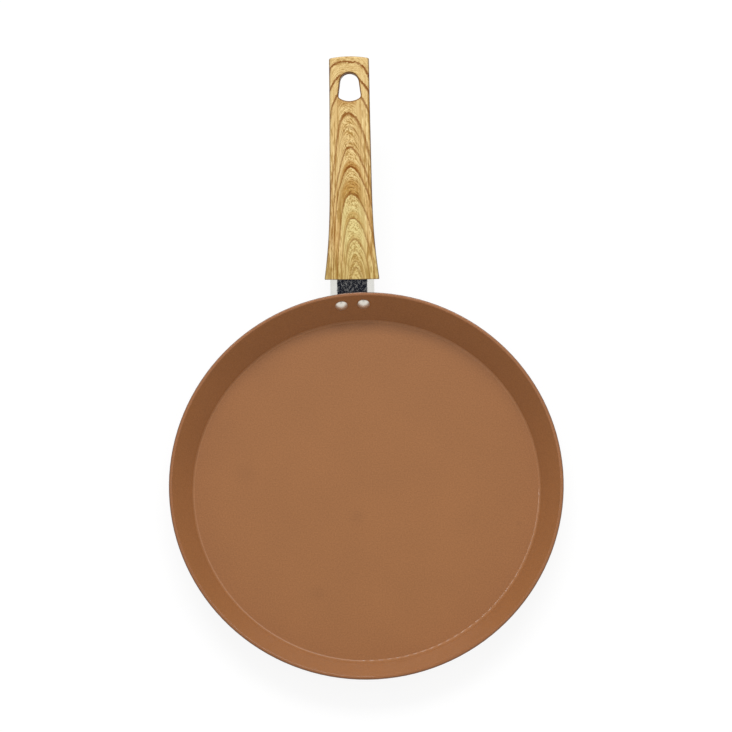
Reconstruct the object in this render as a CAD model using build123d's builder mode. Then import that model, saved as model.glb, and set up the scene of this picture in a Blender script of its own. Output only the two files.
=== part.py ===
from build123d import *
import os
from math import acos, atan2, cos, hypot, radians, sin, sqrt, tan

# Crepe pan: a shallow aluminium dish with a riveted bracket, a steel sleeve and a moulded grip.
# Millimetres, +Z up. The origin is the centre of the underside, where the pan stands.
# The handle points along +Y, and +X is on the right of someone who looks along the handle from the pan.

os.makedirs("parts", exist_ok=True)

# Dish
pan_diameter = 280
pan_height = 27
base_thickness = 3
wall_thickness = 2.5
wall_slope = 61  # degrees above the floor
rim_edge_radius = 0.9
lip_edge_radius = 0.5
floor_corner_radius = 2
base_corner_radius = 7

# Perforated steel disc, forged into the underside
disc_diameter = 210
disc_thickness = 0.6
disc_gap = 0.15
disc_hole_diameter = 7
disc_hole_rings = 3
disc_border = 21  # from the outer ring's middle to the edge

# Handle line: it runs parallel to +Y in plan, a little to the left of the dish's centre, as photographed
handle_offset = -8.6
handle_height = 14.8  # where the line leaves the outside of the wall
handle_rise = 17  # degrees

# Sleeve
sleeve_width = 32
sleeve_height = 16
sleeve_wall = 0.6
sleeve_corner_radius = 5.6
sleeve_wall_gap = 0.3
sleeve_seat_depth = 3.2  # how far it goes into the grip
neck_length = 18.9  # along the handle line, from the wall to the grip

# Bracket
flange_thickness = 3
flange_inset = 0.5
web_width = 6.6
web_height = 11.6
web_length = 12.5
web_fillet = 2
arm_width = 15
arm_height = 9
arm_tip_chamfer = 1
arm_tip_gap = 1
arm_insertion = 21.5

# Rivets
rivet_spacing = 16
rivet_height = 19  # of their heads on the inside of the wall
rivet_head_diameter = 8.9
rivet_head_height = 2.4
rivet_head_rim = 0.4
rivet_shank_diameter = 5
rivet_tail_diameter = 8
rivet_tail_height = 1.8

# Grip
grip_length = 160.6
grip_front_width = 39.9
grip_end_width = 28.9
grip_front_thickness = 24.3
grip_end_thickness = 15.8
grip_crown = 0.9
grip_top_edge_radius = 2.6
grip_bottom_edge_radius = 6.4
grip_front_edge_radius = 0.6
grip_end_edge_radius = 1
grip_end_radius = 74
side_draft = 0.8  # how much each side leans in from top to bottom
station_shares = (0, 0.09, 0.18, 0.29, 0.5, 0.75, 1)
width_shares = (1, 0.675, 0.43, 0.255, 0.14, 0.06, 0)
top_shares = (1, 0.74, 0.54, 0.4, 0.25, 0.11, 0)
bottom_shares = (1, 0.68, 0.46, 0.4, 0.5, 0.3, 0)

# Hanging hole: a bell with its arch towards the end of the grip
hang_hole_setback = 11.8
hang_hole_length = 20.3
hang_hole_shoulder = 17.4  # from the arch to the corners of the bell
hang_hole_arch_radius = 6.8
hang_hole_width = 16.5
hang_hole_corner_radius = 2.6
hang_hole_edge_radius = 1.2

# Screw and washers
screw_diameter = 5
screw_engagement = 18.1  # in the arm, which makes the screw 115 long
screw_head_diameter = 9.5
screw_head_height = 3.7
screw_head_edge_radius = 1.6
screw_head_recess = 2.1  # below the lowest point of the hanging hole
screw_tip_chamfer = 0.6
driver_slot_length = 4.9
driver_slot_width = 1.1
driver_slot_depth = 2.2
flat_washer_diameter = 10
flat_washer_thickness = 1
lock_washer_diameter = 9.2
lock_washer_thickness = 1.2
lock_washer_split = 0.9
lock_washer_slant = 0.7
counterbore_diameter = 10.6
access_hole_diameter = 10.2
tapped_hole_reserve = 4

# Clearances, and how far a cut runs past what it cuts
seat_gap = 0.1
hole_gap = 0.1
slip_gap = 0.3
cut_overrun = 4

# Dish outline. The wall's outer face would meet the top at rim_corner if the rim weren't rounded.
slope = radians(wall_slope)
rim_corner = pan_diameter / 2 + rim_edge_radius * (1 / tan(slope / 2) - 1)
wall_run = wall_thickness / sin(slope)


def outer_radius(height):
    """Radius of the wall's outer face at a height."""
    return rim_corner - (pan_height - height) / tan(slope)


def inner_radius(height):
    """Radius of the wall's inner face at a height."""
    return outer_radius(height) - wall_run


def wall_frame(side, height):
    """Point, tangent and inward normal on the inner face of the wall, at a sideways place."""
    radius = inner_radius(height)
    depth = sqrt(radius**2 - side**2)
    point = Vector(side, depth, height)
    tangent = Vector(depth, -side, 0).normalized()
    normal = Vector(-sin(slope) * side / radius, -sin(slope) * depth / radius, cos(slope))
    return point, tangent, normal


# Handle line and the planes that hang on it
rise = radians(handle_rise)
handle_depth = sqrt(outer_radius(handle_height) ** 2 - handle_offset**2)
handle_start = Vector(handle_offset, handle_depth, handle_height)
handle_direction = Vector(0, cos(rise), sin(rise))
handle_up = Vector(0, -sin(rise), cos(rise))
plan_plane = Plane(handle_start, x_dir=Vector(1, 0, 0), z_dir=handle_up)
side_plane = Plane(handle_start, x_dir=handle_direction, z_dir=Vector(1, 0, 0))


def station(distance):
    """Plane square to the handle line, at a distance from the wall, with y up."""
    return Plane(handle_start + handle_direction * distance, x_dir=Vector(-1, 0, 0), z_dir=handle_direction)


# Places along the handle line
grip_start = neck_length
sleeve_end = grip_start + sleeve_seat_depth
arm_end = sleeve_end + arm_insertion
grip_end = grip_start + grip_length
hole_arch = grip_end - hang_hole_setback
hole_bottom = hole_arch - hang_hole_length
washers_thickness = flat_washer_thickness + lock_washer_thickness
head_top = hole_bottom - screw_head_recess
head_seat = head_top - screw_head_height
washer_seat = head_seat - washers_thickness - seat_gap * 3
screw_tip = arm_end - screw_engagement

# Places for the two rivets, and what they clamp
rivet_sides = (handle_offset - rivet_spacing / 2, handle_offset + rivet_spacing / 2)
rivet_grip = wall_thickness + flange_thickness + seat_gap * 3

# Spacing of the disc's rings
disc_hole_pitch = (disc_diameter / 2 - disc_border) / disc_hole_rings


def inside_of_wall(gap):
    """Half section of all that lies inside the wall's outer face, grown by a gap."""
    run = gap / sin(slope)
    with BuildSketch(Plane.XZ) as section:
        with BuildLine():
            Polyline(
                (0, -pan_height),
                (outer_radius(-pan_height) + run, -pan_height),
                (outer_radius(pan_height * 2) + run, pan_height * 2),
                (0, pan_height * 2),
                close=True,
            )
        make_face()
    return section.sketch


# Dish: one turned section, a recess for the disc with a boss for each of its holes, two rivet holes
with BuildPart() as pan_body:
    with BuildSketch(Plane.XZ):
        with BuildLine():
            dish_outline = FilletPolyline(
                (0, 0),
                (outer_radius(0), 0),
                (rim_corner, pan_height),
                (rim_corner - wall_run, pan_height),
                (inner_radius(base_thickness), base_thickness),
                (0, base_thickness),
                radius=(base_corner_radius, rim_edge_radius, lip_edge_radius, floor_corner_radius),
            )
            Line(dish_outline @ 1, dish_outline @ 0)
        make_face()
    revolve(axis=Axis.Z)
    with BuildSketch():
        Circle(disc_diameter / 2 + disc_gap)
        for ring in range(1, disc_hole_rings + 1):
            with PolarLocations(ring * disc_hole_pitch, 6 * ring):
                Circle(disc_hole_diameter / 2 - disc_gap, mode=Mode.SUBTRACT)
    extrude(amount=disc_thickness + seat_gap, mode=Mode.SUBTRACT)
    for side in rivet_sides:
        point, tangent, normal = wall_frame(side, rivet_height)
        with BuildSketch(Plane(point, x_dir=tangent, z_dir=normal)):
            Circle(rivet_shank_diameter / 2 + hole_gap)
        extrude(amount=wall_thickness + cut_overrun, both=True, mode=Mode.SUBTRACT)
pan_body.part.label = "pan_body"

# Disc with rings of holes round its centre
with BuildPart() as induction_disc:
    with BuildSketch():
        Circle(disc_diameter / 2)
        for ring in range(1, disc_hole_rings + 1):
            with PolarLocations(ring * disc_hole_pitch, 6 * ring):
                Circle(disc_hole_diameter / 2, mode=Mode.SUBTRACT)
    extrude(amount=disc_thickness)
induction_disc.part.label = "induction_disc"

# Sleeve: a rounded tube along the handle line, mitred to the wall
with BuildPart() as flame_guard:
    with BuildSketch(station(-sleeve_height)):
        RectangleRounded(sleeve_width, sleeve_height, sleeve_corner_radius)
        offset(amount=-sleeve_wall, mode=Mode.SUBTRACT)
    extrude(amount=sleeve_height + sleeve_end - slip_gap)
    revolve(inside_of_wall(sleeve_wall_gap), axis=Axis.Z, mode=Mode.SUBTRACT)
flame_guard.part.label = "flame_guard"

# Bracket: a pad that follows the wall, a web between the rivet tails and an arm for the grip
with BuildPart() as handle_bracket:
    revolve(inside_of_wall(seat_gap + flange_thickness), axis=Axis.Z)
    pad_border = sleeve_wall + flange_inset
    with BuildSketch(station(-sleeve_height)):
        RectangleRounded(
            sleeve_width - pad_border * 2,
            sleeve_height - pad_border * 2,
            sleeve_corner_radius - pad_border,
        )
    extrude(amount=sleeve_height * 3, mode=Mode.INTERSECT)
    for side in rivet_sides:
        point, tangent, normal = wall_frame(side, rivet_height)
        with BuildSketch(Plane(point, x_dir=tangent, z_dir=normal)):
            Circle(rivet_shank_diameter / 2 + hole_gap)
        extrude(amount=wall_thickness + flange_thickness + cut_overrun, both=True, mode=Mode.SUBTRACT)
    with BuildSketch(plan_plane):
        with BuildLine():
            right_edge = FilletPolyline(
                (web_width / 2, -sleeve_height),
                (web_width / 2, web_length - web_fillet),
                (arm_width / 2, web_length),
                (arm_width / 2, arm_end),
                radius=web_fillet / 2,
            )
            mirror(right_edge, about=Plane.YZ)
            Line(right_edge @ 0, (-web_width / 2, -sleeve_height))
            Line(right_edge @ 1, (-arm_width / 2, arm_end))
        make_face()
    extrude(amount=arm_height / 2, both=True)
    with BuildSketch(side_plane):
        with BuildLine():
            Polyline(
                (-sleeve_height, -web_height / 2),
                (web_length, -web_height / 2),
                (web_length + web_height - arm_height, -arm_height / 2),
                (web_length + web_height - arm_height, arm_height / 2),
                (web_length, web_height / 2),
                (-sleeve_height, web_height / 2),
                close=True,
            )
        make_face()
    extrude(amount=web_width / 2, both=True)
    revolve(inside_of_wall(seat_gap), axis=Axis.Z, mode=Mode.SUBTRACT)
    with BuildSketch(station(screw_tip - tapped_hole_reserve)):
        Circle(screw_diameter / 2 + hole_gap)
    extrude(amount=arm_end - screw_tip + tapped_hole_reserve + cut_overrun, mode=Mode.SUBTRACT)
    arm_tip = handle_bracket.faces().sort_by(Axis(handle_start, handle_direction))[-1]
    chamfer(arm_tip.outer_wire().edges(), arm_tip_chamfer)
handle_bracket.part.label = "handle_bracket"


# Rivets: a domed head inside the dish, a shank and a tail formed over the bracket's pad.
# Their half section has the axis on y and the wall's inner face at zero.
head_top_height = seat_gap + rivet_head_height
head_edge = seat_gap + rivet_head_rim
tail_seat = -rivet_grip
tail_end = tail_seat - rivet_tail_height
tail_bevel = rivet_tail_height / 2
rivets = []
for name, side in zip(("rivet_left", "rivet_right"), rivet_sides):
    point, tangent, normal = wall_frame(side, rivet_height)
    with BuildPart() as rivet:
        with BuildSketch(Plane(point, x_dir=tangent, z_dir=tangent.cross(normal))):
            with BuildLine():
                TangentArc((0, head_top_height), (rivet_head_diameter / 2, head_edge), tangent=(1, 0))
                Polyline(
                    (rivet_head_diameter / 2, head_edge),
                    (rivet_head_diameter / 2, seat_gap),
                    (rivet_shank_diameter / 2, seat_gap),
                    (rivet_shank_diameter / 2, tail_seat),
                    (rivet_tail_diameter / 2, tail_seat),
                    (rivet_tail_diameter / 2, tail_end + tail_bevel),
                    (rivet_tail_diameter / 2 - tail_bevel, tail_end),
                    (0, tail_end),
                    (0, head_top_height),
                )
            make_face()
        revolve(axis=Axis(point, normal))
    rivet.part.label = name
    rivets.append(rivet)


# Grip
def eased(share, start, end):
    """Size at a share between an end value and a start value."""
    return end + (start - end) * share


def grip_section(share, width, top, bottom):
    """Cross-section of the grip: crowned top and bottom, sides that lean in, four rounded edges."""
    half_top = width / 2
    half_bottom = width / 2 - side_draft
    with BuildSketch(station(grip_start + (grip_length + cut_overrun) * share)) as section:
        with BuildLine():
            ThreePointArc((-half_top, top - grip_crown), (0, top), (half_top, top - grip_crown))
            Line((half_top, top - grip_crown), (half_bottom, grip_crown - bottom))
            ThreePointArc(
                (half_bottom, grip_crown - bottom), (0, -bottom), (-half_bottom, grip_crown - bottom)
            )
            Line((-half_bottom, grip_crown - bottom), (-half_top, top - grip_crown))
        make_face()
        fillet(section.vertices().group_by(Axis.Y)[-1], grip_top_edge_radius)
        fillet(section.vertices().group_by(Axis.Y)[0], grip_bottom_edge_radius)
    return section.sketch


grip_sections = [
    grip_section(
        station_share,
        eased(width_share, grip_front_width, grip_end_width),
        eased(top_share, grip_front_thickness / 2, grip_end_thickness / 2),
        eased(bottom_share, grip_front_thickness / 2, grip_end_thickness / 2),
    )
    for station_share, width_share, top_share, bottom_share in zip(
        station_shares, width_shares, top_shares, bottom_shares
    )
]

# Outline of the hanging hole: its sides are tangent to the arch
arch_centre = hole_arch - hang_hole_arch_radius
bell_corner = hole_arch - hang_hole_shoulder
bell_reach = hypot(hang_hole_width / 2, arch_centre - bell_corner)
bell_slant = acos(hang_hole_arch_radius / bell_reach) - atan2(arch_centre - bell_corner, hang_hole_width / 2)
arch_side = hang_hole_arch_radius * cos(bell_slant)
arch_foot = arch_centre + hang_hole_arch_radius * sin(bell_slant)

with BuildPart() as handle_grip:
    loft(grip_sections)
    with BuildSketch(plan_plane):
        with Locations((0, grip_end)):
            Rectangle(grip_front_width, grip_end_radius)
        with Locations((0, grip_end - grip_end_radius)):
            Circle(grip_end_radius, mode=Mode.SUBTRACT)
    extrude(amount=grip_front_thickness, both=True, mode=Mode.SUBTRACT)
    end_face = handle_grip.faces().filter_by(GeomType.CYLINDER).sort_by(Axis.Y)[-1]
    fillet(end_face.edges(), grip_end_edge_radius)
    front_face = handle_grip.faces().sort_by(Axis(handle_start, handle_direction))[0]
    fillet(front_face.edges(), grip_front_edge_radius)
    with BuildSketch(plan_plane):
        with BuildLine():
            arch = ThreePointArc((arch_side, arch_foot), (0, hole_arch), (-arch_side, arch_foot))
            Line(arch @ 1, (-hang_hole_width / 2, bell_corner))
            ThreePointArc(
                (-hang_hole_width / 2, bell_corner), (0, hole_bottom), (hang_hole_width / 2, bell_corner)
            )
            Line((hang_hole_width / 2, bell_corner), arch @ 0)
        bell = make_face()
        fillet(bell.vertices().group_by(Axis.Y)[0], hang_hole_corner_radius)
    extrude(amount=grip_front_thickness, both=True, mode=Mode.SUBTRACT)
    mouth_edges = handle_grip.edges(Select.LAST).filter_by(Axis(handle_start, handle_up), reverse=True)
    fillet(mouth_edges, hang_hole_edge_radius)
    with BuildSketch(station(grip_start)):
        RectangleRounded(
            sleeve_width + slip_gap * 2, sleeve_height + slip_gap * 2, sleeve_corner_radius + slip_gap
        )
    extrude(amount=sleeve_seat_depth, mode=Mode.SUBTRACT)
    with BuildSketch(station(sleeve_end)):
        Rectangle(arm_width + slip_gap * 2, arm_height + slip_gap * 2)
    extrude(amount=arm_insertion + arm_tip_gap, mode=Mode.SUBTRACT)
    with BuildSketch(station(arm_end)):
        Circle(screw_diameter / 2 + slip_gap)
    extrude(amount=washer_seat - arm_end + cut_overrun, mode=Mode.SUBTRACT)
    with BuildSketch(station(washer_seat)):
        Circle(counterbore_diameter / 2)
    extrude(amount=hole_bottom + cut_overrun - washer_seat, mode=Mode.SUBTRACT)
    with BuildSketch(station(arch_centre)):
        Circle(access_hole_diameter / 2)
    extrude(amount=grip_end + cut_overrun - arch_centre, mode=Mode.SUBTRACT)
handle_grip.part.label = "handle_grip"

# Screw, with a pan head and a cross recess
with BuildPart() as handle_screw:
    with BuildSketch(station(screw_tip)):
        Circle(screw_diameter / 2)
    extrude(amount=head_seat - screw_tip)
    shank_end = handle_screw.faces().sort_by(Axis(handle_start, handle_direction))[0]
    chamfer(shank_end.edges(), screw_tip_chamfer)
    with BuildSketch(station(head_seat)):
        Circle(screw_head_diameter / 2)
    extrude(amount=screw_head_height)
    head_face = handle_screw.faces().sort_by(Axis(handle_start, handle_direction))[-1]
    fillet(head_face.edges(), screw_head_edge_radius)
    with BuildSketch(station(head_top)):
        Rectangle(driver_slot_length, driver_slot_width)
        Rectangle(driver_slot_width, driver_slot_length)
    extrude(amount=-driver_slot_depth, mode=Mode.SUBTRACT)
handle_screw.part.label = "handle_screw"

# Washers under the screw's head, the flat one on the grip and the split one on top of it
with BuildPart() as flat_washer:
    with BuildSketch(station(washer_seat + seat_gap)):
        Circle(flat_washer_diameter / 2)
        Circle(screw_diameter / 2 + hole_gap, mode=Mode.SUBTRACT)
    extrude(amount=flat_washer_thickness)
flat_washer.part.label = "flat_washer"

lock_washer_seat = head_seat - seat_gap - lock_washer_thickness
with BuildPart() as lock_washer:
    with BuildSketch(station(lock_washer_seat)):
        Circle(lock_washer_diameter / 2)
        Circle(screw_diameter / 2 + hole_gap, mode=Mode.SUBTRACT)
    extrude(amount=lock_washer_thickness)
    with BuildSketch(plan_plane):
        with BuildLine():
            Polyline(
                (-lock_washer_split / 2 - lock_washer_slant, lock_washer_seat),
                (lock_washer_split / 2 - lock_washer_slant, lock_washer_seat),
                (lock_washer_split / 2 + lock_washer_slant, lock_washer_seat + lock_washer_thickness),
                (-lock_washer_split / 2 + lock_washer_slant, lock_washer_seat + lock_washer_thickness),
                close=True,
            )
        make_face()
    extrude(amount=lock_washer_diameter, mode=Mode.SUBTRACT)
lock_washer.part.label = "lock_washer"

pieces = (
    pan_body,
    induction_disc,
    flame_guard,
    handle_bracket,
    *rivets,
    handle_grip,
    handle_screw,
    flat_washer,
    lock_washer,
)
for piece in pieces:
    export_step(piece.part, f"parts/{piece.part.label}.step")
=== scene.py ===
from math import cos, radians, sin, tan

import bpy
from bpy.props import FloatProperty, FloatVectorProperty, PointerProperty
from bpy.types import Node, NodeSocket, Operator, Panel, PropertyGroup
from mathutils import Matrix, Vector

bl_info = {
    "name": "Crepe Pan",
    "version": (1, 0, 0),
    "blender": (4, 5, 0),
    "location": "View3D > Sidebar > Crepe Pan",
    "description": "Gives a crepe pan its finishes and sets it on a pale floor in soft light",
    "category": "Object",
}

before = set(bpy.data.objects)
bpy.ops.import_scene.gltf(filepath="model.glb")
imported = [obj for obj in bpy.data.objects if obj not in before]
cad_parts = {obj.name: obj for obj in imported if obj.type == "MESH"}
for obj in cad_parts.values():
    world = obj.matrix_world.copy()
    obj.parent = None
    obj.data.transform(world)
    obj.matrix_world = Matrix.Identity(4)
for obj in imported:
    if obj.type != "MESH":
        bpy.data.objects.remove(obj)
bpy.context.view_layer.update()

MILLIMETRE = 0.001

# Spans for Map Range nodes: 1 is the socket for where a change starts, 2 the one for where it is complete.
# Noise textures seldom leave this span.
NOISE_SPAN = {1: 0.3, 2: 0.7}

# Dish, in millimetres: the middle of the wall's thickness parts the coating inside from the lacquer outside
WALL_SLOPE = radians(61)
WALL_MIDDLE_AT_BASE = 124.23
BASE_MIDDLE = 1.5
FLOOR_LEVEL = 3
CORNER_BEGINS = {1: FLOOR_LEVEL + 0.01, 2: FLOOR_LEVEL + 0.1}
CORNER_ENDS = {1: FLOOR_LEVEL + 1.6, 2: FLOOR_LEVEL + 1.0}
RIM_BEGINS = {1: 26.4, 2: 26.9}
DISC_RADIUS = 105.2
DISC_RECESS = 0.75
# Faint stains on the floor of the dish: place, width and darkening
FLOOR_STAINS = (
    (-87.0, 12.8, 13, 0.05),
    (-7.2, -20.6, 9, 0.06),
    (-35.2, -75.5, 8, 0.06),
    (108.6, -26.6, 3, 0.08),
)

# Handle line, in metres
HANDLE_START = (-0.0086, 0.13359, 0.0148)
HANDLE_RISE = radians(17)

# Hanging hole, in millimetres along the handle line and to each side of it
HOLE_BOTTOM = 147.4
HOLE_ARCH = 167.7
HOLE_HALF_WIDTH = 8.25
HOLE_EDGE = 1.5
BORE_REACH = 5.6  # radius round the handle line inside which the grip's surface is its socket or its bore

# Grain of the grip's print, in millimetres along the handle line. The arches are level lines of a surface that
# climbs along the handle and bends up to both sides: where it climbs fast the arches are flat, where it climbs
# slowly they are drawn out into long legs.
GRAIN_SPAN = 200
CLIMB_SPAN = 20
ARCH_CLIMB = (
    (0, 0.3), (20, 0.6), (35, 1.5), (50, 1.9), (63, 2.1), (80, 2.7), (95, 2.8), (110, 2.1),
    (125, 2.3), (139, 3.2), (150, 6.1), (160, 7.2), (168, 9.5), (178, 11), (200, 12),
)
# Sideways place of the arches' tips
DRIFT_SPAN = 10
ARCH_DRIFT = (
    (0, 3.0), (20, 2.8), (45, 1.9), (65, 1.0), (80, 0.1), (100, 0.0), (120, -0.7),
    (139, -1.7), (155, -2.4), (175, -2.9), (200, -3.0),
)
ARCH_LEAN = 0.14  # how much farther the arches reach to the right than to the left
# Near the grip's end the arches turn from bowls into flat lintels with steep sides
LINTEL_START = 163
LINTEL_END = 173
LINTEL_BEND = 0.00204
# Dark lines: place of the tip, darkness, fade towards the dish, fade towards the end
GRAIN_LINES = (
    (175.1, 1.00, 1.1, 1.2),
    (166.3, 1.00, 1.3, 1.4),
    (156.0, 1.00, 1.3, 1.4),
    (138.8, 1.00, 2.8, 1.4),
    (128.6, 0.45, 1.1, 1.1),
    (122.5, 0.30, 0.6, 0.7),
    (117.8, 0.35, 0.6, 0.7),
    (113.8, 1.00, 1.1, 1.6),
    (99.9, 1.00, 0.8, 1.7),
    (80.5, 0.90, 0.9, 1.7),
    (63.0, 0.70, 0.7, 1.4),
    (47.7, 0.55, 0.8, 1.3),
    (39.5, 0.30, 0.6, 1.0),
    (32.0, 0.35, 0.7, 1.0),
    (27.3, 0.60, 1.0, 1.6),
)
# Broad warm zones: the same four figures
GRAIN_ZONES = (
    (138.4, 0.50, 3.0, 1.4),
    (113.8, 0.35, 0.6, 3.0),
    (99.9, 0.95, 0.6, 5.8),
    (80.6, 1.00, 0.8, 13.5),
    (63.2, 0.75, 0.6, 6.5),
    (47.7, 0.50, 1.5, 4.0),
    (32.5, 0.40, 3.0, 4.0),
)
# Where the print changes along the handle line, and where its painted shade and shadow lie
LINES_TURN_BOLD = {1: 125, 2: 150}
PORES_TURN_FAINT = {1: 130, 2: 150}
SIDES_GAIN_STREAKS = {1: 170, 2: 145}
PATCH_OPENS = {1: 30, 2: 60}
PATCH_CLOSES = {1: 80, 2: 70}
OLIVE_DEEPENS = {1: 110, 2: 55}
OLIVE_WIDENS = {1: 50, 2: 22}
# Painted shadow beside the dish: where it begins and where it is deepest
DISH_SHADOW_DEEPENS = {1: 48, 2: 24}
# Painted shade along the straight edge of the hanging hole
HOLE_SHADE_BEGINS = {1: HOLE_BOTTOM - 5, 2: HOLE_BOTTOM - 1}
HOLE_SHADE_ENDS = {1: HOLE_BOTTOM + 2, 2: HOLE_BOTTOM + 1}
# Where it changes from the arches' middle to the sides
STREAKS_BEGIN = {1: 4, 2: 9}
PATCH_SIDES = {1: 10, 2: 5}
OLIVE_SIDES = {1: 12, 2: 6}
# Painted shade along the straight edge of the hanging hole, to each side
HOLE_SHADE_SIDES = {1: HOLE_HALF_WIDTH, 2: HOLE_HALF_WIDTH - 2}
# Height over the handle line at which the grip's sides begin to drop, and how far they drop
SIDE_TOP = 6.0
SIDE_DROP = 16.0

# The photograph's viewpoint, in metres: the camera looks at the middle of the rim and is turned about it, and then
# it moves sideways in its own frame
CAMERA_CENTRE = Vector((0, 0, 0.027))
CAMERA_SHIFT = Vector((-0.00005, 0.0822))
CAMERA_DISTANCE = 1.77154
CAMERA_PITCH = radians(14.26)
CAMERA_YAW = radians(0.87)
CAMERA_ROLL = radians(-0.8)
CAMERA_LENS = 122.95

# Floor and key light, in metres
FLOOR_REACH = 5
KEY_SIZE = (3, 1.2)
KEY_PLACE = (0, 2.42, 3.18)


def hex_colour(code):
    """Linear RGBA of an sRGB hex colour."""
    channels = [int(code[i : i + 2], 16) / 255 for i in (1, 3, 5)]
    return (*(c / 12.92 if c <= 0.04045 else ((c + 0.055) / 1.055) ** 2.4 for c in channels), 1.0)


def add_node(tree, kind, links=None, **settings):
    """Adds a node with its settings, and fills its sockets with values, sockets or the first output of a node."""
    node = tree.nodes.new(kind)
    for name, value in settings.items():
        setattr(node, name, value)
    for socket, value in (links or {}).items():
        if isinstance(value, Node):
            value = value.outputs[0]
        if isinstance(value, NodeSocket):
            tree.links.new(value, node.inputs[socket])
        else:
            node.inputs[socket].default_value = value
    return node


def shape_curve(node, table, input_span, output_span, output_start=0):
    """Bends a float curve through the pairs of a table, given in its own units."""
    mapping = node.mapping
    curve = mapping.curves[0]
    pairs = [(x / input_span, (y - output_start) / output_span) for x, y in table]
    while len(curve.points) < len(pairs):
        curve.points.new(0, 0)
    for point, (x, y) in zip(curve.points, pairs):
        point.location = (x, y)
        point.handle_type = "AUTO_CLAMPED"
    mapping.update()
    return mapping


def shape_ramp(node, stops):
    """Gives a colour ramp its stops: places and linear colours."""
    elements = node.color_ramp.elements
    while len(elements) < len(stops):
        elements.new(0.5)
    for element, (place, colour) in zip(elements, stops):
        element.position = place
        element.color = colour


def new_material(name):
    """Adds an empty node material."""
    material = bpy.data.materials.new(name)
    material.use_nodes = True
    material.node_tree.nodes.clear()
    return material


def object_millimetres(tree):
    """The surface point in the object's own frame, in millimetres."""
    place = add_node(tree, "ShaderNodeTexCoord")
    links = {0: place.outputs["Object"], 1: (1 / MILLIMETRE,) * 3}
    return add_node(tree, "ShaderNodeVectorMath", links, operation="MULTIPLY")


def handle_millimetres(tree):
    """The surface point in millimetres along the handle: x across, y from the dish's wall, z up from the line."""
    place = add_node(tree, "ShaderNodeTexCoord")
    links = {
        "Vector": place.outputs["Object"],
        "Location": HANDLE_START,
        "Rotation": (HANDLE_RISE, 0, 0),
        "Scale": (MILLIMETRE,) * 3,
    }
    return add_node(tree, "ShaderNodeMapping", links, vector_type="TEXTURE")


def distance_from_axis(tree, place):
    """How far a point lies from the dish's axis."""
    flat = add_node(tree, "ShaderNodeVectorMath", {0: place, 1: (1, 1, 0)}, operation="MULTIPLY")
    return add_node(tree, "ShaderNodeVectorMath", {0: flat}, operation="LENGTH").outputs["Value"]


def finish_surface(tree, links):
    """Ends a material in one Principled shader."""
    shader = add_node(tree, "ShaderNodeBsdfPrincipled", links)
    add_node(tree, "ShaderNodeOutputMaterial", {"Surface": shader})


def dress(node_name, material):
    """Gives a CAD node its material."""
    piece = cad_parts[node_name]
    piece.data.materials.clear()
    piece.data.materials.append(material)


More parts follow.
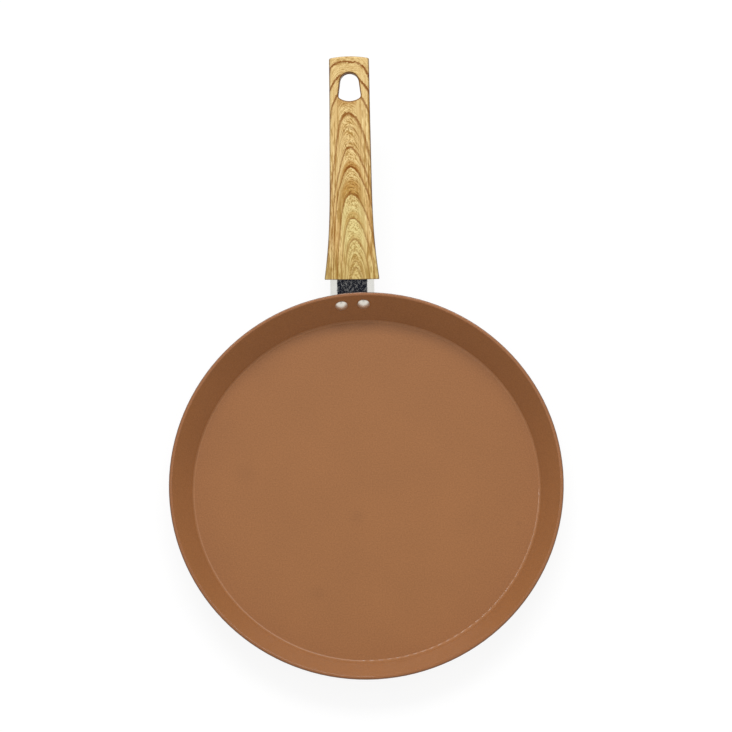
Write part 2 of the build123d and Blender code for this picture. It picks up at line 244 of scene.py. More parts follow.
def coated_dish(finish):
    """Forged aluminium with a sprayed ceramic non-stick inside and lacquer outside.

    The coating is a copper-toned satin with a fine orange peel, so it shows soft grain and mirrors its surroundings
    faintly, with a thin line of light in the corner round the floor. The lacquer outside is darker and duller, with
    a metallic cast. The bosses in the disc's holes are bare, turned aluminium.
    """
    material = new_material("ceramic_coated_aluminium")
    tree = material.node_tree
    place = object_millimetres(tree)
    axes = add_node(tree, "ShaderNodeSeparateXYZ", {0: place})
    radius = distance_from_axis(tree, place)
    height = axes.outputs["Z"]

    # Which side of the wall's and the base's middle a point lies on
    slant = {0: height, 1: 1 / tan(WALL_SLOPE), 2: WALL_MIDDLE_AT_BASE}
    wall_middle = add_node(tree, "ShaderNodeMath", slant, operation="MULTIPLY_ADD")
    beyond_wall = add_node(tree, "ShaderNodeMath", {0: radius, 1: wall_middle}, operation="SUBTRACT")
    below_base = add_node(tree, "ShaderNodeMath", {0: BASE_MIDDLE, 1: height}, operation="SUBTRACT")
    outside = add_node(tree, "ShaderNodeMath", {0: beyond_wall, 1: below_base}, operation="MAXIMUM")
    exterior = add_node(tree, "ShaderNodeMapRange", {0: outside, 1: -0.1, 2: 0.1}, interpolation_type="SMOOTHSTEP")
    under_disc = add_node(tree, "ShaderNodeMath", {0: radius, 1: DISC_RADIUS}, operation="LESS_THAN")
    in_recess = add_node(tree, "ShaderNodeMath", {0: height, 1: DISC_RECESS}, operation="LESS_THAN")
    bare = add_node(tree, "ShaderNodeMath", {0: under_disc, 1: in_recess}, operation="MULTIPLY")
    rim = add_node(tree, "ShaderNodeMapRange", {0: height, **RIM_BEGINS})
    corner_begins = add_node(tree, "ShaderNodeMapRange", {0: height, **CORNER_BEGINS})
    corner_ends = add_node(tree, "ShaderNodeMapRange", {0: height, **CORNER_ENDS})
    corner = add_node(tree, "ShaderNodeMath", {0: corner_begins, 1: corner_ends}, operation="MULTIPLY")

    # Sprayed coating: specks of its pigment, clouds where the spray overlapped, a few faint stains from use. Real
    # specks are finer than the render shows, so they are drawn wider.
    specks = add_node(tree, "ShaderNodeTexNoise", {"Vector": place, "Scale": 1 / finish.speck_size, "Detail": 3.0})
    clouds = add_node(tree, "ShaderNodeTexNoise", {"Vector": place, "Scale": 1 / 42, "Detail": 2.0})
    speck_tone = add_node(tree, "ShaderNodeMapRange", {0: specks, **NOISE_SPAN, 3: 0.88, 4: 1.12})
    cloud_tone = add_node(tree, "ShaderNodeMapRange", {0: clouds, **NOISE_SPAN, 3: 0.975, 4: 1.025})
    tone = add_node(tree, "ShaderNodeMath", {0: speck_tone, 1: cloud_tone}, operation="MULTIPLY")
    for x, y, width, darkening in FLOOR_STAINS:
        spot = add_node(
            tree, "ShaderNodeVectorMath", {0: place, 1: (x, y, FLOOR_LEVEL)}, operation="DISTANCE"
        ).outputs["Value"]
        stain = add_node(
            tree, "ShaderNodeMapRange", {0: spot, 1: 0.0, 2: width, 3: 1 - darkening, 4: 1.0},
            interpolation_type="SMOOTHSTEP",
        )
        tone = add_node(tree, "ShaderNodeMath", {0: tone, 1: stain}, operation="MULTIPLY")
    paint = add_node(tree, "ShaderNodeMix", {0: rim, 6: finish.coating, 7: finish.rim}, data_type="RGBA").outputs[2]
    coating = add_node(
        tree, "ShaderNodeMix", {0: 1.0, 6: paint, 7: tone}, data_type="RGBA", blend_type="MULTIPLY"
    ).outputs[2]
    lacquer = add_node(
        tree, "ShaderNodeMix", {0: 1.0, 6: finish.lacquer, 7: cloud_tone}, data_type="RGBA", blend_type="MULTIPLY"
    ).outputs[2]

    # Turned aluminium: rings left by the tool, drawn coarser than the real ones so that they show
    turning = add_node(tree, "ShaderNodeCombineXYZ", {0: radius})
    rings = add_node(tree, "ShaderNodeTexNoise", {"Vector": turning, "Scale": 1 / 0.5, "Detail": 2.0})

    paints = add_node(tree, "ShaderNodeMix", {0: exterior, 6: coating, 7: lacquer}, data_type="RGBA").outputs[2]
    colour = add_node(tree, "ShaderNodeMix", {0: bare, 6: paints, 7: finish.bare}, data_type="RGBA").outputs[2]
    paint_metal = add_node(tree, "ShaderNodeMapRange", {0: exterior, 3: 0.0, 4: 0.35})
    metallic = add_node(tree, "ShaderNodeMath", {0: paint_metal, 1: bare}, operation="MAXIMUM")

    # The spray gathers in the corner round the floor and dries duller there
    roughness = add_node(tree, "ShaderNodeMapRange", {0: exterior, 3: 0.22, 4: 0.32})
    roughness = add_node(tree, "ShaderNodeMath", {0: corner, 1: 0.26, 2: roughness}, operation="MULTIPLY_ADD")
    unevenness = add_node(tree, "ShaderNodeMapRange", {0: specks, **NOISE_SPAN, 3: -0.03, 4: 0.03})
    roughness = add_node(tree, "ShaderNodeMath", {0: roughness, 1: unevenness}, operation="ADD")
    relief = add_node(tree, "ShaderNodeMix", {0: bare, 2: specks, 3: rings})
    bump = add_node(tree, "ShaderNodeBump", {"Strength": 1.0, "Distance": 0.012 * MILLIMETRE, "Height": relief})
    links = {"Base Color": colour, "Metallic": metallic, "Roughness": roughness, "Normal": bump}
    finish_surface(tree, {**links, "Sheen Weight": 0.03, "Sheen Roughness": 0.5})
    return material


def turned_steel(finish):
    """Stainless disc with a turned face: rings that draw the light out into a cross.

    The real rings are finer than the render shows, so they are drawn wider apart.
    """
    material = new_material("ring_turned_steel")
    tree = material.node_tree
    place = object_millimetres(tree)
    radius = distance_from_axis(tree, place)
    turning = add_node(tree, "ShaderNodeCombineXYZ", {0: radius})
    rings = add_node(tree, "ShaderNodeTexNoise", {"Vector": turning, "Scale": 1 / 0.35, "Detail": 3.0})
    smudges = add_node(tree, "ShaderNodeTexNoise", {"Vector": place, "Scale": 1 / 30, "Detail": 4.0})
    tone = add_node(tree, "ShaderNodeMapRange", {0: rings, **NOISE_SPAN, 3: 0.86, 4: 1.0})
    colour = add_node(
        tree, "ShaderNodeMix", {0: 1.0, 6: finish.disc, 7: tone}, data_type="RGBA", blend_type="MULTIPLY"
    ).outputs[2]
    roughness = add_node(tree, "ShaderNodeMapRange", {0: smudges, **NOISE_SPAN, 3: 0.24, 4: 0.34})
    bump = add_node(tree, "ShaderNodeBump", {"Strength": 1.0, "Distance": 0.008 * MILLIMETRE, "Height": rings})
    finish_surface(tree, {"Base Color": colour, "Metallic": 1.0, "Roughness": roughness, "Normal": bump})
    return material


def polished_steel(finish):
    """Polished stainless tube: a mirror with slight waves and blotches of haze left by wiping."""
    material = new_material("mirror_polished_steel")
    tree = material.node_tree
    place = handle_millimetres(tree)
    haze_place = add_node(tree, "ShaderNodeVectorMath", {0: place, 1: (0.9, 0.6, 0.9)}, operation="MULTIPLY")
    haze = add_node(tree, "ShaderNodeTexNoise", {"Vector": haze_place, "Scale": 1 / 1.5, "Detail": 4.0})
    waves = add_node(tree, "ShaderNodeTexNoise", {"Vector": place, "Scale": 1 / 2.6, "Detail": 3.0})
    roughness = add_node(tree, "ShaderNodeMapRange", {0: haze, 1: 0.35, 2: 0.65, 3: 0.06, 4: 0.235})
    tone = add_node(tree, "ShaderNodeMapRange", {0: haze, **NOISE_SPAN, 3: 0.94, 4: 1.0})
    colour = add_node(
        tree, "ShaderNodeMix", {0: 1.0, 6: finish.sleeve, 7: tone}, data_type="RGBA", blend_type="MULTIPLY"
    ).outputs[2]
    bump = add_node(tree, "ShaderNodeBump", {"Strength": 1.0, "Distance": 0.12 * MILLIMETRE, "Height": waves})
    finish_surface(tree, {"Base Color": colour, "Metallic": 1.0, "Roughness": roughness, "Normal": bump})
    return material


def cast_aluminium(finish):
    """Die-cast aluminium bracket: dull, with a fine grain from the die."""
    material = new_material("die_cast_aluminium")
    tree = material.node_tree
    place = object_millimetres(tree)
    grain = add_node(tree, "ShaderNodeTexNoise", {"Vector": place, "Scale": 1 / 0.6, "Detail": 4.0})
    flow = add_node(tree, "ShaderNodeTexNoise", {"Vector": place, "Scale": 1 / 9, "Detail": 2.0})
    tone = add_node(tree, "ShaderNodeMapRange", {0: flow, **NOISE_SPAN, 3: 0.85, 4: 1.0})
    colour = add_node(
        tree, "ShaderNodeMix", {0: 1.0, 6: finish.bracket, 7: tone}, data_type="RGBA", blend_type="MULTIPLY"
    ).outputs[2]
    roughness = add_node(tree, "ShaderNodeMapRange", {0: flow, **NOISE_SPAN, 3: 0.45, 4: 0.58})
    bump = add_node(tree, "ShaderNodeBump", {"Strength": 1.0, "Distance": 0.04 * MILLIMETRE, "Height": grain})
    finish_surface(tree, {"Base Color": colour, "Metallic": 1.0, "Roughness": roughness, "Normal": bump})
    return material


def satin_aluminium(finish):
    """Pressed aluminium rivets: satin heads, faintly dimpled by the press."""
    material = new_material("satin_pressed_aluminium")
    tree = material.node_tree
    place = object_millimetres(tree)
    dimples = add_node(tree, "ShaderNodeTexNoise", {"Vector": place, "Scale": 1 / 0.8, "Detail": 3.0})
    tone = add_node(tree, "ShaderNodeMapRange", {0: dimples, **NOISE_SPAN, 3: 0.9, 4: 1.0})
    colour = add_node(
        tree, "ShaderNodeMix", {0: 1.0, 6: finish.rivets, 7: tone}, data_type="RGBA", blend_type="MULTIPLY"
    ).outputs[2]
    roughness = add_node(tree, "ShaderNodeMapRange", {0: dimples, **NOISE_SPAN, 3: 0.34, 4: 0.46})
    bump = add_node(tree, "ShaderNodeBump", {"Strength": 1.0, "Distance": 0.02 * MILLIMETRE, "Height": dimples})
    finish_surface(tree, {"Base Color": colour, "Metallic": 1.0, "Roughness": roughness, "Normal": bump})
    return material


def plated_steel(finish):
    """Zinc-plated steel: bright grey with a bluish, slightly patchy cast."""
    material = new_material("bright_zinc_plated_steel")
    tree = material.node_tree
    place = object_millimetres(tree)
    patches = add_node(tree, "ShaderNodeTexNoise", {"Vector": place, "Scale": 1 / 2.5, "Detail": 3.0})
    colour = add_node(
        tree, "ShaderNodeMix", {0: patches, 6: finish.screw, 7: finish.screw_patches}, data_type="RGBA"
    ).outputs[2]
    roughness = add_node(tree, "ShaderNodeMapRange", {0: patches, **NOISE_SPAN, 3: 0.25, 4: 0.4})
    finish_surface(tree, {"Base Color": colour, "Metallic": 1.0, "Roughness": roughness})
    return material


def wood_effect_grip(finish):
    """Moulded phenolic with a printed wood grain under satin lacquer.

    The print has nested arches down the middle of the grip, drawn out into straight streaks along its sides, with
    short dark pores. Painted shade darkens it to brown down the sides, where the surface bends away, and along the
    straight edge of the hanging hole, and painted shadow darkens it beside the dish. The walls of the hanging hole
    and of the bore are bare phenolic, whose dark brown in the hole is partly painted shade. The lacquer gives one
    even, satin gloss over light and dark.
    """
    material = new_material("wood_print_phenolic")
    tree = material.node_tree
    place = handle_millimetres(tree)
    axes = add_node(tree, "ShaderNodeSeparateXYZ", {0: place})
    across, along, up = (axes.outputs[axis] for axis in "XYZ")

    # Middle of the arches, which wanders sideways, and the distance from it
    along_share = add_node(tree, "ShaderNodeMath", {0: along, 1: GRAIN_SPAN}, operation="DIVIDE")
    drift_curve = add_node(tree, "ShaderNodeFloatCurve", {"Value": along_share})
    shape_curve(drift_curve, ARCH_DRIFT, GRAIN_SPAN, DRIFT_SPAN, -DRIFT_SPAN / 2)
    drift = add_node(
        tree, "ShaderNodeMath", {0: drift_curve, 1: DRIFT_SPAN, 2: -DRIFT_SPAN / 2}, operation="MULTIPLY_ADD"
    )
    aside = add_node(tree, "ShaderNodeMath", {0: across, 1: drift}, operation="SUBTRACT")
    spread = add_node(tree, "ShaderNodeMath", {0: aside}, operation="ABSOLUTE")
    reach = add_node(tree, "ShaderNodeMath", {0: spread, 1: -ARCH_LEAN, 2: aside}, operation="MULTIPLY_ADD")

    # Level of the grain's surface
    climb_curve = add_node(tree, "ShaderNodeFloatCurve", {"Value": along_share})
    shape_curve(climb_curve, ARCH_CLIMB, GRAIN_SPAN, CLIMB_SPAN)
    climb = add_node(tree, "ShaderNodeMath", {0: climb_curve, 1: CLIMB_SPAN}, operation="MULTIPLY")
    levels = [(0, 0)]
    for (start, low), (end, high) in zip(ARCH_CLIMB, ARCH_CLIMB[1:]):
        levels.append((end, levels[-1][1] + (end - start) * (low + high) / 2))
    level_span = levels[-1][1]
    level_curve = add_node(tree, "ShaderNodeFloatCurve", {"Value": along_share})
    level_mapping = shape_curve(level_curve, levels, GRAIN_SPAN, level_span)
    level_mapping.initialize()
    sunk = add_node(tree, "ShaderNodeMapRange", {0: up, 1: SIDE_TOP, 2: SIDE_TOP - SIDE_DROP, 3: 0.0, 4: SIDE_DROP})
    square_across = add_node(tree, "ShaderNodeMath", {0: reach, 1: reach}, operation="MULTIPLY")
    square_sunk = add_node(tree, "ShaderNodeMath", {0: sunk, 1: sunk}, operation="MULTIPLY")
    bowl = add_node(tree, "ShaderNodeMath", {0: square_across, 1: 0.5}, operation="MULTIPLY")
    fourth = add_node(tree, "ShaderNodeMath", {0: square_across, 1: square_across}, operation="MULTIPLY")
    lintel = add_node(tree, "ShaderNodeMath", {0: fourth, 1: LINTEL_BEND}, operation="MULTIPLY")
    lintel_share = add_node(
        tree, "ShaderNodeMapRange", {0: along, 1: LINTEL_START, 2: LINTEL_END}, interpolation_type="SMOOTHSTEP"
    )
    bend = add_node(tree, "ShaderNodeMix", {0: lintel_share, 2: bowl, 3: lintel})
    bend = add_node(tree, "ShaderNodeMath", {0: square_sunk, 1: 0.5, 2: bend}, operation="MULTIPLY_ADD")
    level = add_node(tree, "ShaderNodeMath", {0: level_curve, 1: level_span, 2: bend}, operation="MULTIPLY_ADD")

    # How steep that surface is: level differences divided by it are distances
    lintel_slope = add_node(tree, "ShaderNodeMath", {0: square_across, 1: LINTEL_BEND * 4}, operation="MULTIPLY")
    lintel_slope = add_node(tree, "ShaderNodeMath", {0: lintel_slope, 1: reach}, operation="MULTIPLY")
    slope_across = add_node(tree, "ShaderNodeMix", {0: lintel_share, 2: reach, 3: lintel_slope})
    gradient = add_node(tree, "ShaderNodeCombineXYZ", {0: slope_across, 1: climb, 2: sunk})
    steepness = add_node(tree, "ShaderNodeVectorMath", {0: gradient}, operation="LENGTH").outputs["Value"]
    flatness = add_node(tree, "ShaderNodeMath", {0: climb, 1: steepness}, operation="DIVIDE")

    # Ragged edges of the lines, and where they fade out. They run smoother along the sides, and thinner except near
    # the grip's end.
    ragged = add_node(tree, "ShaderNodeTexNoise", {"Vector": place, "Scale": 1 / 1.3, "Detail": 3.0})
    wander = add_node(tree, "ShaderNodeTexNoise", {"Vector": place, "Scale": 1 / 7, "Detail": 1.0})
    ragged_shift = add_node(tree, "ShaderNodeMapRange", {0: ragged, 3: -1.3, 4: 1.3}, clamp=False)
    wander_shift = add_node(tree, "ShaderNodeMapRange", {0: wander, 3: -1.0, 4: 1.0}, clamp=False)
    wobble = add_node(tree, "ShaderNodeMath", {0: ragged_shift, 1: wander_shift}, operation="ADD")
    calm = add_node(tree, "ShaderNodeMapRange", {0: flatness, 3: 0.25, 4: 1.0})
    wobble = add_node(tree, "ShaderNodeMath", {0: wobble, 1: calm}, operation="MULTIPLY")
    breaks = add_node(tree, "ShaderNodeTexNoise", {"Vector": place, "Scale": 1 / 4, "Detail": 3.0})
    strength = add_node(tree, "ShaderNodeMapRange", {0: breaks, 1: 0.32, 2: 0.58, 3: 0.7, 4: 1.0})
    bold_end = add_node(tree, "ShaderNodeMapRange", {0: along, **LINES_TURN_BOLD, 3: 0.0, 4: 0.7})
    boldness = add_node(tree, "ShaderNodeMath", {0: flatness, 1: bold_end}, operation="MAXIMUM")
    line_thinning = add_node(tree, "ShaderNodeMapRange", {0: boldness, 3: 0.55, 4: 1.0})
    zone_thinning = add_node(tree, "ShaderNodeMapRange", {0: flatness, 3: 0.14, 4: 1.0})
    leg_fade = add_node(tree, "ShaderNodeMapRange", {0: boldness, 1: 0.1, 2: 0.7, 3: 0.6, 4: 1.0})

    def arches(table, thinning, full_share):
        """Darkness of the arches in a table, from 0 to 1: full over a share of the way out, then fading."""
        total = 0.0
        for tip, darkness, inner, outer in table:
            tip_level = level_mapping.evaluate(level_mapping.curves[0], tip / GRAIN_SPAN) * level_span
            rise = add_node(tree, "ShaderNodeMath", {0: level, 1: tip_level}, operation="SUBTRACT")
            gap = add_node(tree, "ShaderNodeMath", {0: rise, 1: steepness}, operation="DIVIDE")
            gap = add_node(tree, "ShaderNodeMath", {0: gap, 1: wobble}, operation="ADD")
            gap = add_node(tree, "ShaderNodeMath", {0: gap, 1: thinning}, operation="DIVIDE")
            inward = add_node(
                tree, "ShaderNodeMapRange", {0: gap, 1: -inner, 2: 0.0}, interpolation_type="SMOOTHSTEP"
            )
            outward = add_node(
                tree, "ShaderNodeMapRange", {0: gap, 1: outer * full_share, 2: outer, 3: darkness, 4: 0.0},
                interpolation_type="SMOOTHSTEP",
            )
            line = add_node(tree, "ShaderNodeMath", {0: inward, 1: outward}, operation="MULTIPLY")
            total = add_node(tree, "ShaderNodeMath", {0: total, 1: line}, operation="MAXIMUM")
        return total

    lines = arches(GRAIN_LINES, line_thinning, 0.4)
    lines = add_node(tree, "ShaderNodeMath", {0: lines, 1: strength}, operation="MULTIPLY")
    lines = add_node(tree, "ShaderNodeMath", {0: lines, 1: leg_fade}, operation="MULTIPLY")
    zones = arches(GRAIN_ZONES, zone_thinning, 0.6)
    mottle = add_node(tree, "ShaderNodeMapRange", {0: ragged, 1: 0.35, 2: 0.58, 3: 0.65, 4: 1.0})
    zones = add_node(tree, "ShaderNodeMath", {0: zones, 1: mottle}, operation="MULTIPLY")

    # Streaks along the sides and a finer ripple between the arches
    side = add_node(tree, "ShaderNodeMapRange", {0: spread, **STREAKS_BEGIN}, interpolation_type="SMOOTHSTEP")
    before_end = add_node(tree, "ShaderNodeMapRange", {0: along, **SIDES_GAIN_STREAKS, 3: 0.25, 4: 1.0})
    side = add_node(tree, "ShaderNodeMath", {0: side, 1: before_end}, operation="MULTIPLY")
    inner_share = add_node(tree, "ShaderNodeMapRange", {0: side, 3: 1.0, 4: 0.5})
    zones = add_node(tree, "ShaderNodeMath", {0: zones, 1: inner_share}, operation="MULTIPLY")
    streak_place = add_node(tree, "ShaderNodeVectorMath", {0: place, 1: (1.0, 0.025, 1.0)}, operation="MULTIPLY")
    streaks = add_node(tree, "ShaderNodeTexNoise", {"Vector": streak_place, "Scale": 1 / 1.4, "Detail": 3.0})
    grain_place = add_node(tree, "ShaderNodeCombineXYZ", {0: level, 1: aside, 2: along})
    density = (0.38, 0.3, 0.1)
    ripple_place = add_node(tree, "ShaderNodeVectorMath", {0: grain_place, 1: density}, operation="MULTIPLY")
    ripple = add_node(tree, "ShaderNodeTexNoise", {"Vector": ripple_place, "Scale": 1.0, "Detail": 2.0})
    fibre = add_node(tree, "ShaderNodeMix", {0: side, 2: ripple, 3: streaks})
    fibre_tone = add_node(tree, "ShaderNodeMapRange", {0: fibre, 1: 0.36, 2: 0.6})

    # The arches nearest the dish enclose a pale patch
    patch_start = add_node(tree, "ShaderNodeMapRange", {0: along, **PATCH_OPENS}, interpolation_type="SMOOTHSTEP")
    patch_end = add_node(tree, "ShaderNodeMapRange", {0: along, **PATCH_CLOSES}, interpolation_type="SMOOTHSTEP")
    patch_sides = add_node(tree, "ShaderNodeMapRange", {0: spread, **PATCH_SIDES}, interpolation_type="SMOOTHSTEP")
    patch = add_node(tree, "ShaderNodeMath", {0: patch_start, 1: patch_end}, operation="MULTIPLY")
    patch = add_node(tree, "ShaderNodeMath", {0: patch, 1: patch_sides}, operation="MULTIPLY")
    fibre_tone = add_node(
        tree, "ShaderNodeMath", {0: patch, 1: 0.35, 2: fibre_tone}, operation="MULTIPLY_ADD", use_clamp=True
    )

    # Painted shadow: beside the dish the fibres are drawn darker, for the shadow that falls there
    dish_shadow = add_node(tree, "ShaderNodeMapRange", {0: along, **DISH_SHADOW_DEEPENS, 3: 0.0, 4: 0.55})
    fibre_tone = add_node(tree, "ShaderNodeMix", {0: dish_shadow, 2: fibre_tone, 3: 0.18})

    # Pores: dots in the middle, dashes along the sides, wider than real ones so that they show
    dash = add_node(tree, "ShaderNodeMapRange", {0: side, 3: 0.75, 4: 0.14})
    dash_scale = add_node(tree, "ShaderNodeCombineXYZ", {0: 1.0, 1: dash, 2: 1.0})
    pore_place = add_node(tree, "ShaderNodeVectorMath", {0: place, 1: dash_scale}, operation="MULTIPLY")
    links = {"Vector": pore_place, "Scale": 1 / finish.pore_size, "Detail": 1.0}
    pores = add_node(tree, "ShaderNodeTexNoise", links)
    pore_depth = add_node(tree, "ShaderNodeMapRange", {0: along, **PORES_TURN_FAINT, 3: 0.75, 4: 0.35})
    pore_mask = add_node(tree, "ShaderNodeMapRange", {0: pores, 1: 0.52, 2: 0.64, 3: 0.0, 4: pore_depth})

    ground = add_node(tree, "ShaderNodeValToRGB", {"Fac": fibre_tone})
    shape_ramp(ground, ((0.0, finish.streak), (0.4, finish.ground), (1.0, finish.pale)))
    warm = add_node(
        tree, "ShaderNodeMix", {0: zones, 6: ground, 7: finish.zone}, data_type="RGBA", blend_type="MULTIPLY"
    ).outputs[2]
    porous = add_node(tree, "ShaderNodeMix", {0: pore_mask, 6: warm, 7: finish.streak}, data_type="RGBA").outputs[2]
    colour = add_node(tree, "ShaderNodeMix", {0: lines, 6: porous, 7: finish.line}, data_type="RGBA").outputs[2]

    # The print turns from reddish at the end of the grip to olive near the dish
    olive = add_node(tree, "ShaderNodeMapRange", {0: along, **OLIVE_DEEPENS}, interpolation_type="SMOOTHSTEP")
    between_sides = add_node(tree, "ShaderNodeMapRange", {0: spread, **OLIVE_SIDES}, interpolation_type="SMOOTHSTEP")
    beside_dish = add_node(tree, "ShaderNodeMapRange", {0: along, **OLIVE_WIDENS}, interpolation_type="SMOOTHSTEP")
    tinted = add_node(tree, "ShaderNodeMath", {0: between_sides, 1: beside_dish}, operation="MAXIMUM")
    olive = add_node(tree, "ShaderNodeMath", {0: olive, 1: tinted}, operation="MULTIPLY")
    colour = add_node(
        tree, "ShaderNodeMix", {0: olive, 6: colour, 7: finish.olive}, data_type="RGBA", blend_type="MULTIPLY"
    ).outputs[2]

    # Painted shade: the print is darkened down the sides, where the surface no longer faces up from the handle line
    facing = add_node(tree, "ShaderNodeTexCoord").outputs["Normal"]
    upward = (0, -sin(HANDLE_RISE), cos(HANDLE_RISE))
    level_facing = add_node(tree, "ShaderNodeVectorMath", {0: facing, 1: upward}, operation="DOT_PRODUCT")
    lying = add_node(tree, "ShaderNodeMath", {0: level_facing.outputs["Value"]}, operation="ABSOLUTE")
    side_shade = add_node(tree, "ShaderNodeMapRange", {0: lying, 1: 0.85, 2: 0.45}, interpolation_type="SMOOTHSTEP")
    colour = add_node(
        tree, "ShaderNodeMix", {0: side_shade, 6: colour, 7: finish.side_shade}, data_type="RGBA", blend_type="MULTIPLY"
    ).outputs[2]

    # Painted shade along the straight edge of the hanging hole: the print is darkened there
    edge_start = add_node(tree, "ShaderNodeMapRange", {0: along, **HOLE_SHADE_BEGINS})
    edge_end = add_node(tree, "ShaderNodeMapRange", {0: along, **HOLE_SHADE_ENDS})
    edge_sides = add_node(tree, "ShaderNodeMapRange", {0: spread, **HOLE_SHADE_SIDES, 4: 0.6})
    edge = add_node(tree, "ShaderNodeMath", {0: edge_start, 1: edge_end}, operation="MULTIPLY")
    edge = add_node(tree, "ShaderNodeMath", {0: edge, 1: edge_sides}, operation="MULTIPLY")
    colour = add_node(
        tree, "ShaderNodeMix", {0: edge, 6: colour, 7: finish.zone}, data_type="RGBA", blend_type="MULTIPLY"
    ).outputs[2]

    # Bare phenolic in the hanging hole, the sockets and the screw's bore; in the hanging hole its dark brown is
    # partly painted shade on the hole's walls
    turned_in = add_node(tree, "ShaderNodeMapRange", {0: lying, 1: 0.995, 2: 0.9}, interpolation_type="SMOOTHSTEP")
    in_length = add_node(
        tree, "ShaderNodeMath",
        {0: along, 1: (HOLE_ARCH + HOLE_BOTTOM) / 2, 2: (HOLE_ARCH - HOLE_BOTTOM) / 2 + HOLE_EDGE},
        operation="COMPARE",
    )
    in_width = add_node(
        tree, "ShaderNodeMath", {0: across, 1: 0.0, 2: HOLE_HALF_WIDTH + HOLE_EDGE}, operation="COMPARE"
    )
    in_hole = add_node(tree, "ShaderNodeMath", {0: in_length, 1: in_width}, operation="MULTIPLY")
    in_hole = add_node(tree, "ShaderNodeMath", {0: in_hole, 1: turned_in}, operation="MULTIPLY")
    from_line = add_node(tree, "ShaderNodeCombineXYZ", {0: across, 1: up})
    depth = add_node(tree, "ShaderNodeVectorMath", {0: from_line}, operation="LENGTH").outputs["Value"]
    in_bore = add_node(tree, "ShaderNodeMath", {0: depth, 1: BORE_REACH}, operation="LESS_THAN")
    bare = add_node(tree, "ShaderNodeMath", {0: in_hole, 1: in_bore}, operation="MAXIMUM")
    colour = add_node(tree, "ShaderNodeMix", {0: bare, 6: colour, 7: finish.phenolic}, data_type="RGBA").outputs[2]

    lacquer = add_node(tree, "ShaderNodeTexNoise", {"Vector": place, "Scale": 1 / 6, "Detail": 2.0})
    roughness = add_node(tree, "ShaderNodeMapRange", {0: lacquer, **NOISE_SPAN, 3: 0.36, 4: 0.44})
    bump = add_node(tree, "ShaderNodeBump", {"Strength": 1.0, "Distance": 0.01 * MILLIMETRE, "Height": pores})
    links = {"Base Color": colour, "Roughness": roughness, "Normal": bump}
    finish_surface(tree, {**links, "Specular IOR Level": 0.25})
    return material


def floor_paper(studio):
    """Matt white paper, which looks as white as the background and keeps a faint shadow."""
    material = new_material("matt_white_paper")
    tree = material.node_tree
    paper = add_node(tree, "ShaderNodeBsdfDiffuse", {"Color": studio.floor})
    rays = add_node(tree, "ShaderNodeLightPath")
    links = {0: rays.outputs["Is Camera Ray"], 1: rays.outputs["Is Glossy Ray"]}
    seen = add_node(tree, "ShaderNodeMath", links, operation="MAXIMUM")
    seen = add_node(tree, "ShaderNodeMath", {0: seen, 1: rays.outputs["Is Transmission Ray"]}, operation="MAXIMUM")
    lift = add_node(tree, "ShaderNodeMath", {0: seen, 1: studio.floor_lift}, operation="MULTIPLY")
    glow = add_node(tree, "ShaderNodeEmission", {"Color": (1, 1, 1, 1), "Strength": lift})
    both = add_node(tree, "ShaderNodeAddShader", {0: paper, 1: glow})
    add_node(tree, "ShaderNodeOutputMaterial", {"Surface": both})
    return material


def soft_surroundings(world, studio):
    """Even light from all round, which the camera and glossy surfaces see as white, and a dark flag overhead.

    Glossy surfaces mirror the flag where they lie flat. Its cloth is thinner on the handle's side.
    """
    world.use_nodes = True
    tree = world.node_tree
    tree.nodes.clear()
    rays = add_node(tree, "ShaderNodeLightPath")
    direction = add_node(tree, "ShaderNodeTexCoord")
    links = {
        "Vector": direction.outputs["Generated"],
        "Rotation": (radians(studio.flag_angle), 0, 0),
        "Scale": (sin(radians(studio.flag_width)), sin(radians(studio.flag_length)), 1),
    }
    in_flag = add_node(tree, "ShaderNodeMapping", links, vector_type="TEXTURE")
    aside = add_node(tree, "ShaderNodeVectorMath", {0: in_flag, 1: (1, 1, 0)}, operation="MULTIPLY")
    aside = add_node(tree, "ShaderNodeVectorMath", {0: aside}, operation="LENGTH").outputs["Value"]
    lengthwise = add_node(tree, "ShaderNodeSeparateXYZ", {0: in_flag}).outputs["Y"]
    thinness = add_node(
        tree, "ShaderNodeMapRange", {0: lengthwise, 1: -0.05, 2: 0.35}, interpolation_type="SMOOTHSTEP"
    )
    cloth = add_node(
        tree, "ShaderNodeMix", {0: thinness, 6: studio.flag, 7: studio.thin_flag}, data_type="RGBA"
    ).outputs[2]
    in_shade = add_node(tree, "ShaderNodeMapRange", {0: aside, 1: 1.0, 2: 0.8}, interpolation_type="SMOOTHSTEP")
    overhead = add_node(
        tree, "ShaderNodeMix", {0: in_shade, 6: studio.mirrored, 7: cloth}, data_type="RGBA"
    ).outputs[2]
    links = {0: rays.outputs["Is Glossy Ray"], 1: rays.outputs["Is Transmission Ray"]}
    mirrored = add_node(tree, "ShaderNodeMath", links, operation="MAXIMUM")
    seen = add_node(
        tree, "ShaderNodeMix", {0: mirrored, 6: studio.ambient, 7: overhead}, data_type="RGBA"
    ).outputs[2]
    seen = add_node(
        tree, "ShaderNodeMix", {0: rays.outputs["Is Camera Ray"], 6: seen, 7: (1, 1, 1, 1)}, data_type="RGBA"
    ).outputs[2]
    background = add_node(tree, "ShaderNodeBackground", {"Color": seen})
    add_node(tree, "ShaderNodeOutputWorld", {"Surface": background})


